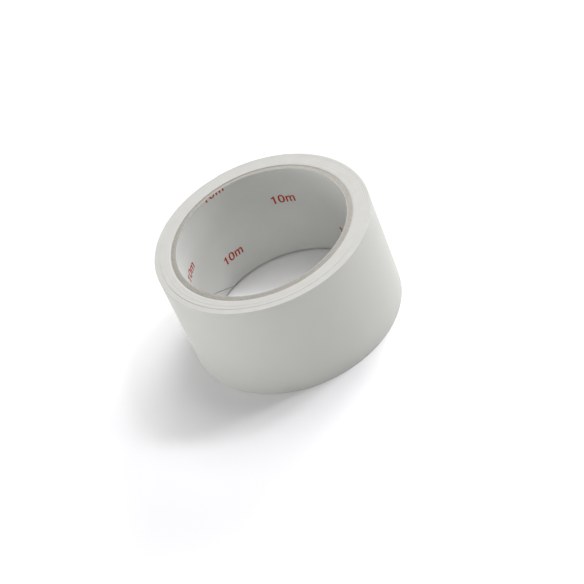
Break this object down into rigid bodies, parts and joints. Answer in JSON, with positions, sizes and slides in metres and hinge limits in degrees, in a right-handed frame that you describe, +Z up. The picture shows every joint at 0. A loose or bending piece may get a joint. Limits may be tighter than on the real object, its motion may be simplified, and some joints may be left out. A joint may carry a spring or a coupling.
{
  "type": "roll of drywall tape",
  "caption": "Roll of white self-adhesive drywall tape wound on a spiral paper core, standing on its end, with a free end that peels off.",
  "frame": {"origin": "on the roll's axis, at the end of the winding that the roll stands on", "axes": "+Z up along the roll's axis; -Y is the front that the picture is taken from; the tape's free end is at the back, +Y"},
  "size_m": [0.0959, 0.0959, 0.05],
  "materials": {
    "liner_paper": "matte",
    "core_board": "matte",
    "tape_film": "satin"
  },
  "bodies": {
    "roll": {"core_liner": "liner_paper", "core_inner_ply": "core_board", "core_middle_ply": "core_board", "core_outer_ply": "core_board", "tape_winding": "tape_film", "tape_outer_turn": "tape_film"},
    "tape_end": {"tape_free_end": "tape_film"}
  },
  "joints": [
    {"name": "tape_end_peel", "type": "hinge", "parent": "roll", "child": "tape_end", "pos_m": [0.0115, 0.04664, 0.025], "axis": [0, 0, -1], "range_deg": [0, 120]}
  ]
}
